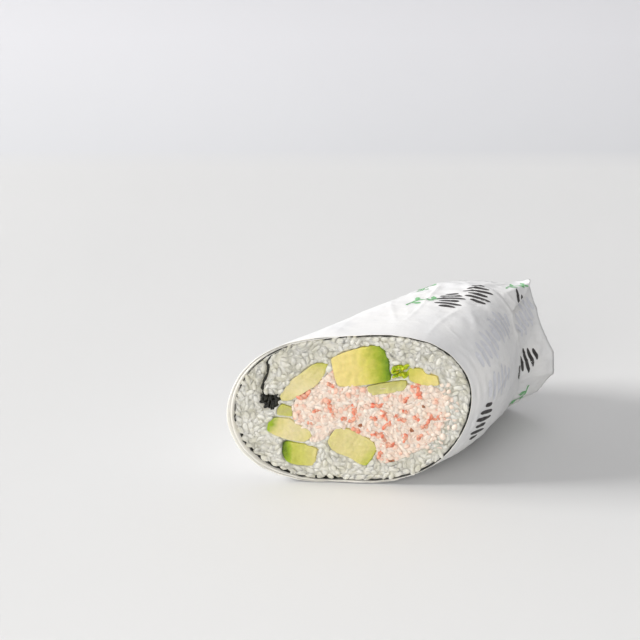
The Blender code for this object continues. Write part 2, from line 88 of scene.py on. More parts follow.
CRAB_SALAD = [
    (-17.2, 31.4), (-15.0, 33.7), (-10.9, 37.3), (-8.3, 41.2), (-6.2, 45.6), (-5.2, 41.0), (0.0, 38.6),
    (4.5, 37.4), (12.6, 38.6), (16.2, 40.0), (23.6, 38.8), (25.6, 34.8), (25.6, 28.3), (24.5, 21.8),
    (20.8, 15.8), (16.2, 12.1), (11.9, 9.4), (7.4, 8.2), (6.3, 12.0), (3.6, 18.4), (-1.8, 22.0),
    (-6.6, 20.8), (-8.1, 17.4), (-10.8, 15.6), (-12.8, 16.7), (-12.6, 20.5), (-16.8, 24.2), (-17.3, 28.1),
]
LEAF_SPACE = [(10.4, 46.8), (14.9, 47.0), (15.1, 44.4), (15.1, 41.8), (10.4, 41.6)]
TAIL_PATH = [
    (-24.5, 46.8), (-24.3, 44.4), (-25.2, 40.3), (-26.2, 37.4), (-25.7, 34.7), (-26.0, 32.8),
    (-25.4, 31.3), (-24.8, 33.4), (-23.9, 33.1), (-24.6, 29.0), (-23.7, 28.9), (-22.9, 33.0), (-22.6, 30.4),
]
TAIL_STRAIGHT = 6
CRUMPLE_PATH = [
    (-26.6, 33.9), (-25.3, 32.4), (-25.2, 34.6), (-24.5, 32.3), (-26.6, 31.4), (-25.0, 31.0),
    (-25.3, 29.0), (-24.2, 30.6), (-23.9, 33.9), (-23.3, 31.6), (-23.4, 28.2), (-22.8, 30.8),
    (-22.0, 29.6), (-22.3, 32.0), (-21.2, 32.6), (-22.4, 33.4), (-21.5, 35.0),
]
LEAF_PATH = [
    (11.8, 44.4), (10.6, 44.0), (10.7, 45.2), (11.2, 46.7), (12.0, 45.2), (12.4, 47.0), (13.2, 46.4),
    (12.9, 44.8), (13.8, 45.4), (14.1, 47.0), (15.3, 46.8), (15.7, 45.4), (14.7, 44.8), (15.1, 43.4),
    (14.2, 42.5), (13.8, 43.9), (13.0, 42.9), (12.5, 44.0), (11.9, 42.3), (11.4, 43.6), (10.8, 42.2),
]
NORI_START, NORI_LAP, NORI_FULL_AT = 139.0, 12.0, 95.0

# Coral flecks of the crab that stand out: X, Z, length, turn in degrees.
CORAL_FLECKS = [
    (-14.0, 34.2, 5.5, 23), (-6.7, 38.7, 2.4, -31), (-7.0, 31.5, 3.2, -70), (-6.2, 28.4, 4.4, -62),
    (-10.4, 28.4, 2.9, 13), (-3.0, 25.6, 2.2, 2), (-12.6, 23.6, 1.4, 2), (0.1, 29.3, 4.2, -76),
    (-0.5, 25.3, 2.2, 34), (6.5, 31.1, 4.3, 7), (5.5, 26.3, 2.4, -31), (8.6, 27.8, 4.6, -70),
    (9.4, 23.7, 3.8, 49), (6.6, 20.0, 3.9, 8), (8.4, 18.5, 3.5, -61), (12.2, 27.4, 1.8, -20),
    (14.4, 33.7, 2.6, 49), (13.6, 25.9, 2.9, -20), (17.0, 39.3, 2.8, 13), (18.2, 36.2, 5.2, -84),
    (17.8, 26.8, 2.8, -36), (21.5, 26.6, 4.4, 64), (23.2, 26.7, 2.9, 13), (14.3, 18.8, 3.1, 54),
    (10.4, 15.8, 3.6, 18), (7.6, 11.7, 3.6, 73), (0.7, 21.2, 3.3, -26), (19.9, 23.4, 2.2, 24),
    (18.8, 19.4, 2.8, 73), (14.2, 29.0, 1.6, 2),
]
TOASTED_FLECKS = [(11.1, 9.6, 2.6, 2), (1.8, 22.9, 1.8, 34), (16.2, 22.0, 1.2, 2), (19.6, 31.0, 0.9, 60)]

# The paper: its thickness, how far a dent may go in, and the angles at which its sheet begins, is one
# turn on, and ends.
PAPER = 0.16
LEAST_LIFT = -1.8
SHEET_START, ONE_TURN_ON, SHEET_END = 98, 458, 656

# What a piece is: its material slot, and the part's nodes that it stands for.
AS_PAPER = ("white_paper", ["paper_wrap"])
AS_RICE = ("sushi_rice", ["rice"])
AS_CRAB = ("crab_and_mayo", ["crab_salad"])
AS_NORI = ("toasted_nori", ["nori_sheet"])
AS_LEAF = ("lettuce_green", ["lettuce_leaf"])


def chaikin(outline, times=1, closed=True, share=0.25):
    """Cuts this share off both sides of every corner of the outline, which rounds it."""
    points = np.asarray(outline, float)
    for _ in range(times):
        after = np.roll(points, -1, axis=0)
        ends = [(1 - share) * points + share * after, share * points + (1 - share) * after]
        cut = np.stack(ends, 1).reshape(-1, points.shape[1])
        points = cut if closed else np.vstack([points[:1], cut[1:-3], points[-1:]])
    return points


def evenly(points, count, closed=True):
    """The same line with its points evenly spaced."""
    line = np.vstack([points, points[:1]]) if closed else np.asarray(points, float)
    gone = np.concatenate([[0], np.cumsum(np.linalg.norm(np.diff(line, axis=0), axis=1))])
    places = np.linspace(0, gone[-1], count + 1)[:-1] if closed else np.linspace(0, gone[-1], count)
    return np.stack([np.interp(places, gone, line[:, k]) for k in range(line.shape[1])], 1)


DEGREES = np.arange(0, 360, 0.25)


def reach_table(outline):
    """Distance from the axis to the outline at each of these angles."""
    points = evenly(np.asarray(outline, float), 6000) - AXIS
    angle = np.degrees(np.arctan2(points[:, 1], points[:, 0])) % 360
    order = np.argsort(angle)
    return np.interp(DEGREES, angle[order], np.linalg.norm(points, axis=1)[order], period=360)


CREASE_REACH = reach_table(chaikin(CREASE_OUTLINE, 2))
END_REACH = reach_table(END_OUTLINE)


def oval_radius(angle):
    """The nori's outer radius where the roll is full; angles in degrees."""
    a = np.radians(angle)
    return sum((high * np.cos(n * (a - np.radians(lean))) for n, high, lean in OVAL_WAVES), MEAN_RADIUS)


def section_radius(angle, y):
    """The full roll, then its taper to the crease, then the squashed end."""
    full = oval_radius(angle)
    reaches = (CREASE_REACH, END_REACH)
    crease, end = (np.interp(angle % 360, DEGREES, reach, period=360) for reach in reaches)
    taper = np.clip((y - FULL_UNTIL) / (CREASE_AT - FULL_UNTIL), 0, 1) ** 2
    close = np.clip((y - CREASE_AT) / (WRAP_LENGTH - CREASE_AT), 0, 1)
    body = (1 - taper) * full + taper * crease
    return (1 - close) * body + close * end


def section_point(angle, y, offset=0.0, lift=0.0):
    """Points at an offset from the roll's skin, flattened where it meets the table; lift comes on top."""
    radius = section_radius(angle, y) + offset + lift
    a = np.radians(angle)
    z = AXIS[1] + radius * np.sin(a)
    z = np.maximum(z, np.maximum(FLOOR_CLEARANCE - offset, 0.05))
    return np.stack(np.broadcast_arrays(AXIS[0] + radius * np.cos(a), y, z), -1)


def on_section(angle, offset=0.0):
    """The same on the full section: X and Z alone."""
    return section_point(angle, 0.0, offset)[..., (0, 2)]


def cut_y(x):
    """How far forward or back the slanted cut is at x."""
    return x * math.tan(CUT)


def on_cut(x, z, height):
    """Points above the slanted cut, at x and z where they stand on it."""
    x, z, height = np.broadcast_arrays(x, z, height)
    return np.stack([x + height * math.sin(CUT), cut_y(x) - height * math.cos(CUT), z], -1)


def waves(points, size, seed, count=14):
    """Soft noise, between about -1 and 1, made of sines that run every way."""
    draw = np.random.default_rng(seed)
    total = np.zeros(points.shape[:-1])
    for _ in range(count):
        way = draw.normal(size=3)
        way *= draw.uniform(0.6, 1.7) / np.linalg.norm(way)
        total += np.sin(points @ way * 2 * math.pi / size + draw.uniform(0, 2 * math.pi))
    return total / math.sqrt(count / 2) / 1.6


def ridges(points, size, seed):
    """Noise with sharp folds, from 0 to 1."""
    return 1 - np.clip(np.abs(waves(points, size, seed, 9)) * 1.6, 0, 1)


# Meshes.
def in_scene(name, data):
    obj = bpy.data.objects.new(name, data)
    bpy.context.scene.collection.objects.link(obj)
    return obj


def add_mesh(name, points, faces, materials, slot_name, nodes, face_materials=None):
    """A piece of the burrito: its mesh in the shared frame, riding on the only body."""
    mesh = bpy.data.meshes.new(name)
    mesh.from_pydata((points.reshape(-1, 3) + SHIFT) * 0.001, [], [tuple(map(int, face)) for face in faces])
    for made in materials:
        mesh.materials.append(made)
    if face_materials is not None:
        mesh.polygons.foreach_set("material_index", face_materials.astype(np.int32))
    mesh.validate()
    mesh.polygons.foreach_set("use_smooth", np.full(len(mesh.polygons), True))
    obj = in_scene(name, mesh)
    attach(obj, "root")
    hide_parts(*nodes)


def joined(parts):
    """Many pieces, each its points and its faces, as one."""
    clouds, faces, count = [], [], 0
    for points, own in parts:
        clouds.append(points)
        faces += [tuple(corner + count for corner in face) for face in own]
        count += len(points)
    return np.concatenate(clouds), faces


def grid_faces(rows, columns, closed):
    """Four-cornered faces of a grid of points; closed joins the last column to the first."""
    i, j = np.meshgrid(np.arange(rows - 1), np.arange(columns if closed else columns - 1), indexing="ij")
    here, after = i * columns + j, i * columns + (j + 1) % columns
    return np.stack([here, after, after + columns, here + columns], -1).reshape(-1, 4)


def tube_faces(rows, columns):
    """The same closed round, with a cap over the first and the last row."""
    faces = [tuple(f) for f in grid_faces(rows, columns, True)]
    return [*faces, tuple(range((rows - 1) * columns, rows * columns)), tuple(range(columns))[::-1]]


def sheet_mesh(name, outer, inner, closed, materials, slot_name, nodes, ends=(True, True)):
    """A thin sheet with an outer and an inner side; rows run along the roll and columns round it."""
    rows, columns = outer.shape[:2]
    half = rows * columns
    face = grid_faces(rows, columns, closed)
    j, after = face[: columns if closed else columns - 1, :2].T
    last, end = (rows - 1) * columns, columns - 1
    edges = [edge for edge, wanted in zip([(j, after), (last + after, last + j)], ends) if wanted]
    if not closed:
        along = np.arange(rows - 1) * columns
        edges += [(along + columns, along), (along + end, along + columns + end)]
    rim = [np.stack([first, first + half, second + half, second], -1) for first, second in edges]
    faces = np.concatenate([face, face[:, ::-1] + half, *rim])
    kinds = np.arange(len(faces)) >= len(face)
    points = np.concatenate([outer.reshape(-1, 3), inner.reshape(-1, 3)])
    add_mesh(name, points, faces, materials, slot_name, nodes, kinds)


# Materials.
WHITE = (1, 1, 1, 1)


def colour(red, green, blue):
    """Linear colour from the eight-bit values seen on a screen."""
    seen = [value / 255 for value in (red, green, blue)]
    return tuple(((v + 0.055) / 1.055) ** 2.4 if v > 0.04 else v / 12.92 for v in seen) + (1,)


class Look:
    """A material built up from a few kinds of procedural detail."""

    def __init__(self, name, base, roughness, specular=0.5, inner=()):
        """Light scatters under the surface by inner: a weight, a scale and a radius for each colour."""
        self.made = bpy.data.materials.new(name)
        self.made.use_nodes = True
        self.tree = self.made.node_tree
        self.shader = self.tree.nodes["Principled BSDF"]
        values = {"Base Color": base, "Roughness": roughness, "Specular IOR Level": specular}
        values.update(zip(("Subsurface Weight", "Subsurface Scale", "Subsurface Radius"), inner))
        for key, value in values.items():
            self.shader.inputs[key].default_value = value
        metres = self.node("TexCoord").outputs["Object"]
        self.place = self.node("VectorMath", {0: metres, "Scale": 1000}, operation="SCALE").outputs[0]
        self.colour = None
        self.normal = None

    def node(self, kind, inputs=(), **settings):
        """A new node; each of its inputs is a value or another node's output."""
        made = self.tree.nodes.new("ShaderNode" + kind)
        for key, value in settings.items():
            setattr(made, key, value)
        for key, value in dict(inputs).items():
            if isinstance(value, bpy.types.NodeSocket):
                self.tree.links.new(value, made.inputs[key])
            else:
                made.inputs[key].default_value = value
        return made

    def link(self, source, key):
        self.tree.links.new(source, self.shader.inputs[key])

    def noise(self, size, detail, stretch=(1, 1, 1)):
        """Noise with features of about this size in millimetres."""
        spread = self.node("VectorMath", {0: self.place, 1: stretch}, operation="MULTIPLY").outputs[0]
        return self.node("TexNoise", {"Vector": spread, "Scale": 1 / size, "Detail": detail}).outputs["Fac"]

    def cells(self, size):
        """Small cells of this size in millimetres."""
        return self.node("TexVoronoi", {"Vector": self.place, "Scale": 1 / size}).outputs["Distance"]

    def along(self, way, start, end):
        """From 0 to 1 between two distances along a direction, in millimetres of the shared frame."""
        dot = self.node("VectorMath", {0: self.place, 1: way}, operation="DOT_PRODUCT")
        return self.remap(dot.outputs["Value"], start, end)

    def remap(self, value, low, high, to_low=0.0, to_high=1.0):
        """The value brought from one range to another, and held in it."""
        ranges = {"Value": value, "From Min": low, "From Max": high, "To Min": to_low, "To Max": to_high}
        return self.node("MapRange", ranges).outputs["Result"]

    def add(self, first, second, weight):
        """The first value and so much of the second."""
        return self.node("Math", {0: second, 1: weight, 2: first}, operation="MULTIPLY_ADD").outputs[0]

    def ramp(self, value, *stops):
        """Colours by value: each stop is a place and a colour."""
        node = self.node("ValToRGB", {"Fac": value})
        elements = node.color_ramp.elements
        while len(elements) < len(stops):
            elements.new(0.5)
        for element, (place, tint) in zip(elements, stops):
            element.position = place
            element.color = tint
        return node.outputs["Color"]

    def paint(self, source, share=1.0, blend="MIX"):
        """Lays a colour over what is there, by a share that is a number or a value."""
        if self.colour is not None:
            inputs = {0: share, 6: self.colour, 7: source}
            source = self.node("Mix", inputs, data_type="RGBA", blend_type=blend).outputs[2]
        self.colour = source
        self.link(source, "Base Color")

    def mottle(self, size, detail, *stops):
        """Patches of the stops' colours."""
        self.paint(self.ramp(self.noise(size, detail), *stops))

    def multiply(self, value, low, tint, high, share):
        """Darkens by this tint where the value is low."""
        self.paint(self.ramp(value, (low, tint), (high, WHITE)), share, "MULTIPLY")

    def bump(self, height, depth):
        """Relief of this depth in millimetres."""
        inputs = {"Strength": 1.0, "Distance": depth * 0.001, "Height": height}
        if self.normal is not None:
            inputs["Normal"] = self.normal
        self.normal = self.node("Bump", inputs).outputs["Normal"]
        self.link(self.normal, "Normal")

    def roughen(self, size, detail, low, high):
        """Patches that are smoother and rougher."""
        self.link(self.remap(self.noise(size, detail), 0.3, 0.7, low, high), "Roughness")


def paper_look(name, light, shade, through=0.0):
    """Plain paper; through is how much light passes it."""
    look = Look(name, light, 0.55, 0.35, (through, 0.0012, (1.0, 0.97, 0.92)))
    look.mottle(16, 3, (0.35, shade), (0.68, light))
    look.bump(look.noise(7.0, 4), 0.22)
    look.bump(look.noise(2.2, 3), 0.05)
    look.bump(look.noise(0.35, 2), 0.012)
    look.roughen(9, 2, 0.46, 0.64)
    return look.made


def rice_look():
    look = Look("rice_grain", colour(224, 221, 207), 0.30, inner=(0.8, 0.0024, (1.0, 0.99, 0.95)))
    look.mottle(3.2, 3, (0.34, colour(212, 208, 188)), (0.60, colour(243, 239, 224)))
    look.multiply(look.noise(9.0, 2), 0.36, (0.80, 0.81, 0.83, 1), 0.56, 0.85)
    look.bump(look.noise(0.7, 3), 0.03)
    look.roughen(1.5, 2, 0.20, 0.40)
    return look.made


def crab_look(name, dark, light, size):
    look = Look(name, light, 0.42, inner=(0.5, 0.0010, (1.0, 0.9, 0.84)))
    look.mottle(size, 3, (0.36, dark), (0.62, light))
    look.bump(look.noise(0.5, 3), 0.06)
    look.roughen(0.9, 2, 0.32, 0.52)
    return look.made


def nori_look():
    look = Look("nori", colour(22, 24, 20), 0.42)
    look.mottle(1.2, 4, (0.35, colour(10, 11, 9)), (0.7, colour(42, 42, 30)))
    look.bump(look.cells(0.5), 0.08)
    look.roughen(0.8, 3, 0.3, 0.6)
    return look.made


def flesh_look(name, way, start, end, stops, fibre, wet=0.28, translucent=0.3):
    """Cut flesh whose colour changes across the strip, towards its skin."""
    look = Look(name, stops[0][1], wet, 0.32, (translucent, 0.002, (1.0, 1.0, 0.35)))
    uneven = look.remap(look.noise(2.2, 3), 0.3, 0.7, -0.5, 0.5)
    look.paint(look.ramp(look.add(look.along(way, start, end), uneven, 0.10), *stops))
    look.multiply(look.noise(1.0, 4), 0.3, (0.55, 0.55, 0.5, 1), 0.7, 0.15)
    streaks = look.noise(1.5, 2, tuple(0.25 + 1.5 * abs(w) for w in way))
    look.multiply(streaks, 0.38, (0.88, 0.92, 0.82, 1), 0.58, 0.5)
    look.bump(look.noise(fibre, 3), 0.07)
    look.bump(look.noise(3.0, 2), 0.28)
    look.roughen(1.3, 3, wet * 0.8, wet * 1.5)
    return look.made


def leaf_look():
    look = Look("lettuce", colour(150, 196, 50), 0.34, 0.3, (0.4, 0.0010, (1.0, 0.2, 0.1)))
    look.mottle(1.6, 3, (0.3, colour(132, 172, 14)), (0.68, colour(222, 225, 58)))
    look.bump(look.noise(0.8, 3), 0.12)
    return look.made


def stage_look():
    """A pale floor and backdrop with painted light: the floor is painted lighter away from the key lamp,
    the backdrop a little darker at its foot and lighter with its height.
    """
    look = Look("floor", colour(221, 221, 220), 0.7, 0.2)
    # Painted light: the floor's tone rises away from the key lamp, which evens out the lamp's falloff
    # across it.
    away = look.along((0.766, 0.643, 0), -150, 350)
    look.paint(look.ramp(away, (0.0, colour(216, 216, 215)), (1.0, colour(228, 228, 227))))
    # Painted shade at the foot of the backdrop, lightening with its height.
    height = look.along((0, 0, 1), 0, 60)
    backdrop = look.ramp(height, (0.0, colour(213, 214, 216)), (1.0, colour(221, 221, 224)))
    look.paint(backdrop, look.remap(height, 0.0, 0.07))
    look.multiply(look.noise(400, 2), 0.3, (0.975, 0.975, 0.975, 1), 0.7, 1.0)
    return look.made


# Paper.
def wrinkle(points, angle, y, creased=True):
    """How far the paper stands off its smooth shape: soft dents, gathered folds, and the end's crease."""
    from_cut = y - cut_y(points[..., 0])
    loose = np.clip((y - 18) / 45, 0, 1)
    near = np.clip(from_cut / 9, 0.08, 1)
    stretched = points * np.array([1.0, 0.55, 1.0])
    soft = 0.30 * waves(stretched, 26, 3) + 0.16 * waves(points, 11, 4)
    folds = 0.42 * ridges(stretched, 21, 8) ** 3 + 0.20 * ridges(points, 9, 9) ** 4
    turned = (angle + 180) % 360 - 180
    facing = np.clip((76 - np.abs(turned - 5)) / 25, 0, 1)
    crease = 0.7 * np.exp(-np.abs(y - CREASE_AT) / 1.6)
    beyond = np.clip((y - CREASE_AT) / (WRAP_LENGTH - CREASE_AT), 0, 1)
    hollow = 2.2 * np.minimum(beyond * 7, 1) * (1 - beyond) ** 0.7
    right = np.clip((52 - np.abs(turned + 8)) / 25, 0, 1) * (0.7 + 0.5 * waves(points, 16, 12))
    ripple = 0.17 * np.sin(from_cut * 1.5 + 0.07 * turned) * np.exp(-(((from_cut - 8) / 6) ** 2)) * right
    made = near * ((0.35 + 0.9 * loose) * soft + (0.4 + loose) * folds) + ripple
    return made + facing * (crease - hollow) if creased else made


def held_up(lift, y):
    """Dents go only as deep as the food behind them lets them; it ends before the crease."""
    return np.maximum(lift, LEAST_LIFT - 1.6 * np.clip((y - CREASE_AT) / 6, 0, 1))


def rows_along(x, proud):
    """Places along the roll: close together, with a row on the crease and on the folded end."""
    start = cut_y(x) - proud - 0.16 * np.sin(x * 0.45 + 1) - 0.12 * np.sin(x * 1.13)
    first = start + (FULL_UNTIL - start) * np.linspace(0, 1, 42)[:-1, None] ** 1.25
    middle = np.linspace(FULL_UNTIL, CREASE_AT, 34)[:-1]
    rest = np.concatenate([middle, np.linspace(CREASE_AT, WRAP_LENGTH, 20)])
    return np.concatenate([first, np.broadcast_to(rest[:, None], (len(rest), len(x)))])


def paper_sheet(angles, offset_at, proud, rows=None):
    """Outer and inner side of the paper over these angles; its offset from the nori varies."""
    x = on_section(angles, offset_at(angles, 0.0))[:, 0]
    y = rows_along(x, proud)[:rows]
    angle = np.broadcast_to(angles, y.shape)
    offset = offset_at(angle, y)
    lift = held_up(wrinkle(section_point(angle, y, offset), angle, y), y)
    return section_point(angle, y, offset, lift), section_point(angle, y, offset - PAPER, lift)


def around(start, end, step=1.0):
    """Angles from start to end, with the nearest one moved onto each corner of the folded end."""
    angles = np.linspace(start, end, int(round((end - start) / step)) + 1)
    corners = np.asarray(END_OUTLINE) - AXIS
    for corner in np.degrees(np.arctan2(corners[:, 1], corners[:, 0])):
        for turn in (-360, 0, 360, 720):
            if start < corner + turn < end:
                angles[np.argmin(np.abs(angles - corner - turn))] = corner + turn
    return angles


def at_left(angle):
    """From 0 at the right to 1 at the left of the roll."""
    return (0.5 - 0.5 * np.cos(np.radians(angle))) ** 2


def stand_off(angle, y, most):
    """How far a loose layer stands off at the left of the roll; less towards the folded end."""
    share = np.clip((angle - SHEET_START) / (262 - SHEET_START), 0, 1)
    return most * np.sin(math.pi * share**1.5) ** 1.3 * (1 - 0.75 * np.clip((y - 35) / 50, 0, 1))


def winding_offset(angle, y):
    """Where the sheet lies as it winds outwards: one turn, then an outer turn that stands off."""
    slow = 0.32 + 0.30 * np.minimum(angle - SHEET_START, 360) / 360
    step = 0.25 * np.clip((angle - ONE_TURN_ON) / 12, 0, 1)
    return slow + step + np.where(angle > ONE_TURN_ON, stand_off(angle - 360, y, 1.15), 0)


def skin_point(angle, y, raised=0.0, creased=True):
    """A point on the outermost paper, with its wrinkles, raised a little from it."""
    angle, y, raised = np.broadcast_arrays(np.asarray(angle, float), y, raised)
    turned = (angle - SHEET_START) % 360 + SHEET_START
    turned = np.where(turned < SHEET_END - 360, turned + 360, turned)
    offset = winding_offset(turned, y)
    smooth = section_point(turned, y, offset)
    lift = held_up(wrinkle(smooth, turned, y, creased), y)
    return section_point(turned, y, offset, lift + raised)


def make_paper():
    outside = paper_look("paper_outside", colour(238, 237, 235), colour(228, 228, 228))
    # The inside of the sheet and every cut rim are cream, and are also painted brighter than the outside: a
    # painted highlight, so the rims read as catching the light.
    inside = paper_look("paper_inside_painted_bright", colour(252, 249, 240), colour(243, 238, 224), 0.35)
    both = [outside, inside]
    turn = around(SHEET_START, SHEET_END, 1.2)
    later = np.clip((turn - 435) / 50, 0, 1)
    proud = 0.25 + (0.85 - 0.75 * later) * at_left(turn)
    winding = paper_sheet(turn, winding_offset, proud)
    sheet_mesh("paper_winding", *winding, False, both, *AS_PAPER)
    turn = around(112, 248)
    middle = paper_sheet(turn, lambda a, y: 0.62 + stand_off(a, y, 0.45), 0.1 * at_left(turn), rows=24)
    sheet_mesh("paper_middle_turn", *middle, False, both, *AS_PAPER)
    make_folded_end(both)
    make_awning(both)
    make_print()


# The overhang's free edge and the line where it leaves the roll, each an angle and a place along the roll.
AWNING_EDGE = [(49.0, 68.6), (54.0, 77.0), (58.5, 85.0), (64.0, 90.3), (67.5, 92.4)]
AWNING_BACK = [(84.0, 68.6), (87.0, 77.0), (90.0, 86.0), (92.0, 92.6)]


def awning_point(share, place, above=0.0):
    """A point of the overhang: share runs from its free edge up to the roll, place along the edge."""
    share, place = np.broadcast_arrays(np.asarray(share, float), place)
    ticks = np.linspace(0, 1, 40)
    lines = [evenly(np.array(line), 40, closed=False) for line in (AWNING_EDGE, AWNING_BACK)]
    edge, back = ([np.interp(place, ticks, line[:, k]) for k in (0, 1)] for line in lines)
    angle, y = (edge[k] * (1 - share) + back[k] * share for k in (0, 1))
    ear = np.clip((y - 86) / 8, 0, 1) ** 2
    sunk = np.clip((79 - y) / 10, 0, 1) ** 2
    raised = 0.22 + (0.9 + 3.0 * ear) * (1 - share) ** 2 - 1.1 * sunk * (1 - 0.55 * share) + above
    held = np.minimum(y, WRAP_LENGTH)
    flat = skin_point(angle, held, raised, creased=False)
    lying = skin_point(angle, held, raised)
    point = flat + (lying - flat) * np.clip(share / 0.7, 0, 1)[..., None] ** 2
    point[..., 1] = y
    return point


def make_awning(both):
    """The top of the sheet, folded over the end panel: its free edge runs out to a small ear."""
    share, place = np.meshgrid(np.linspace(0, 1, 26), np.linspace(0, 1, 40), indexing="ij")
    outer, inner = awning_point(share, place), awning_point(share, place, -PAPER)
    sheet_mesh("paper_awning", outer, inner, False, both, *AS_PAPER)


# Printed motifs: slim bars side by side, and a sprig. Each is an angle, a place along the roll and a turn.
BAR_MOTIFS = [
    (82, 50, 62), (75, 63, 55), (-14, 36, 12), (2, 76, 78),
    (150, 30, 20), (205, 62, 75), (-70, 58, 100), (262, 34, 50),
]
SPRIG_MOTIFS = [(99, 44, 20), (178, 48, 60), (-44, 80, 110), (128, 66, 150), (232, 22, 10)]
FAINT_MOTIFS = [(43, 57, 80), (34, 41, 70), (10, 45, 88), (44, 82, 60), (200, 30, 30)]
# On the overhang a motif's first two numbers are its share and its place there, both from 0 to 1.
AWNING_SPRIGS, AWNING_BARS = [(0.34, 0.62, 25)], [(0.2, 0.26, -50)]
AWNING_WIDTH, AWNING_LENGTH = 18, 28
# The bars of a motif: how far each is from its middle, and how long.
BARS = [(-7.0, 6.0), (-4.2, 10.0), (-1.4, 7.5), (1.4, 11.5), (4.2, 8.5), (7.0, 5.0)]
INK_ABOVE, CLEAR_OF_CUT = 0.08, 0.6


def ink_strip(line, widths):
    """A printed stroke along a line of (round, along) millimetres about a motif's middle."""
    way = np.gradient(line, axis=0)
    way /= np.linalg.norm(way, axis=1, keepdims=True)
    side = np.stack([-way[:, 1], way[:, 0]], 1) * np.asarray(widths)[:, None] / 2
    return np.array([line + side * k for k in (-1, -0.5, 0, 0.5, 1)])


def spun(strokes, degrees):
    """The strokes turned about their motif's middle."""
    a = math.radians(degrees)
    return strokes @ np.array([[math.cos(a), math.sin(a)], [-math.sin(a), math.cos(a)]])


def stamp(strokes, motif):
    """Places a motif's strokes on the paper: turned, then laid at its angle and place, clear of the cut."""
    angle, along, degrees = motif
    turned = spun(strokes, degrees)
    radius = section_radius(np.array(float(angle)), along)
    around_roll, y = angle + np.degrees(turned[..., 0] / radius), along + turned[..., 1]
    y = np.maximum(y, cut_y(on_section(around_roll, 0.6)[..., 0]) + CLEAR_OF_CUT)
    return skin_point(around_roll, y, INK_ABOVE)


def stamp_awning(strokes, motif):
    """The same on the overhang."""
    share, place, degrees = motif
    turned = spun(strokes, degrees)
    share = np.clip(share + turned[..., 0] / AWNING_WIDTH, 0.01, 1)
    place = np.clip(place + turned[..., 1] / AWNING_LENGTH, 0.01, 0.99)
    return awning_point(share, place, INK_ABOVE)


def ink_mesh(name, strokes, motifs, finish, placed=stamp):
    """Every stroke at every motif, as one mesh."""
    clouds = [placed(stroke, motif) for motif in motifs for stroke in strokes]
    parts = [(c.reshape(-1, 3), grid_faces(*c.shape[:2], False)[:, ::-1]) for c in clouds]
    add_mesh(name, *joined(parts), [finish], *AS_PAPER)


def lozenge(place, length, width):
    """A slim bar with tapering ends."""
    t = np.linspace(-1, 1, 26)
    line = np.stack([np.full(26, place), t * length / 2], 1)
    return ink_strip(line, width * np.sqrt(np.clip(1 - np.abs(t) ** 3, 0.0, 1)) + 0.02)


def sprig():
    """A curved stem with a leaf on either side in turn."""
    t = np.linspace(0, 1, 30)
    stem = np.stack([2.2 * np.sin(t * 4.2) - 1, -7 + 14 * t], 1)
    strokes = [ink_strip(stem, np.full(30, 0.75))]
    for k, place in enumerate((0.22, 0.42, 0.62, 0.82)):
        root = stem[int(place * 29)]
        lean = 0.9 if k % 2 else -0.9
        r = np.linspace(0, 1, 14)
        leaf = root + np.stack([lean * 3.6 * r, 2.6 * r**0.8], 1)
        strokes.append(ink_strip(leaf, 2.1 * np.sin(math.pi * np.clip(r, 0.02, 0.98))))
    return strokes


def ink_look(name, tint, worn=1.25):
    """Ink, paler where it is worn."""
    look = Look(name, tint, 0.5, 0.35)
    paler = (*(c * worn for c in tint[:3]), 1)
    look.mottle(0.8, 3, (0.3, paler), (0.6, tint))
    look.bump(look.noise(0.35, 2), 0.012)
    return look.made


def make_print():
    dark, green = ink_look("ink_dark", colour(58, 55, 54)), ink_look("ink_green", colour(118, 178, 124))
    faint = ink_look("ink_showing_through", colour(215, 216, 221), 1.05)
    bars = [lozenge(x, length, 1.7) for x, length in BARS]
    wide_bars = [lozenge(x * 1.1, length * 1.1, 2.0) for x, length in BARS]
    ink_mesh("print_bars", bars, BAR_MOTIFS, dark)
    ink_mesh("print_sprigs", sprig(), SPRIG_MOTIFS, green)
    ink_mesh("print_awning_sprig", sprig(), AWNING_SPRIGS, green, stamp_awning)
    ink_mesh("print_awning_bars", bars[:2], AWNING_BARS, dark, stamp_awning)
    ink_mesh("print_showing_through", wide_bars, FAINT_MOTIFS, faint)


def make_folded_end(both):
    """The end of the paper, gathered into pleats that lie over one another and meet in the middle."""
    angles = around(SHEET_START, ONE_TURN_ON)[:-1]
    rim = skin_point(angles, WRAP_LENGTH, -PAPER)
    middle = np.array([AXIS[0] + 1.5, WRAP_LENGTH, AXIS[1] - 2.0])
    share = np.linspace(1, 0.004, 40)[:, None]
    outer = middle + (rim - middle) * share[..., None]
    pleat = (angles / 360 * 7 + 0.4 * np.sin(np.radians(2 * angles) + 1) + 0.7 * (1 - share)) % 1
    dent = 1.1 * pleat * np.minimum(1, share * 3) + 0.35 * waves(outer, 9, 23)
    outer[..., 1] = WRAP_LENGTH - 3.6 * (1 - share) ** 0.6 - np.clip((1 - share) * 5, 0, 1) * dent
    inner = outer - np.array([0, 0.3, 0])
    sheet_mesh("paper_folded_end", outer, inner, True, both, *AS_PAPER, ends=(False, True))


# Food.
def distance_from_line(points, line):
    nearest = []
    for a, b in zip(line[:-1], line[1:]):
        edge = b - a
        share = np.clip(((points - a) @ edge) / (edge @ edge), 0, 1)
        nearest.append(np.linalg.norm(points - a - share[:, None] * edge, axis=1))
    return np.min(nearest, axis=0)


def distance_to(points, outline):
    """Signed distance from the outline: positive inside it."""
    inside = np.zeros(len(points), bool)
    for a, b in zip(outline, np.roll(outline, -1, axis=0)):
        edge = b - a
        crosses = (a[1] > points[:, 1]) != (b[1] > points[:, 1])
        with np.errstate(divide="ignore", invalid="ignore"):
            inside ^= crosses & (points[:, 0] < a[0] + edge[0] * (points[:, 1] - a[1]) / edge[1])
    nearest = distance_from_line(points, np.vstack([outline, outline[:1]]))
    return np.where(inside, nearest, -nearest)


def nori_rim(inset):
    """The outline of the room inside the nori."""
    return on_section(np.arange(0, 360, 3.0), -inset)


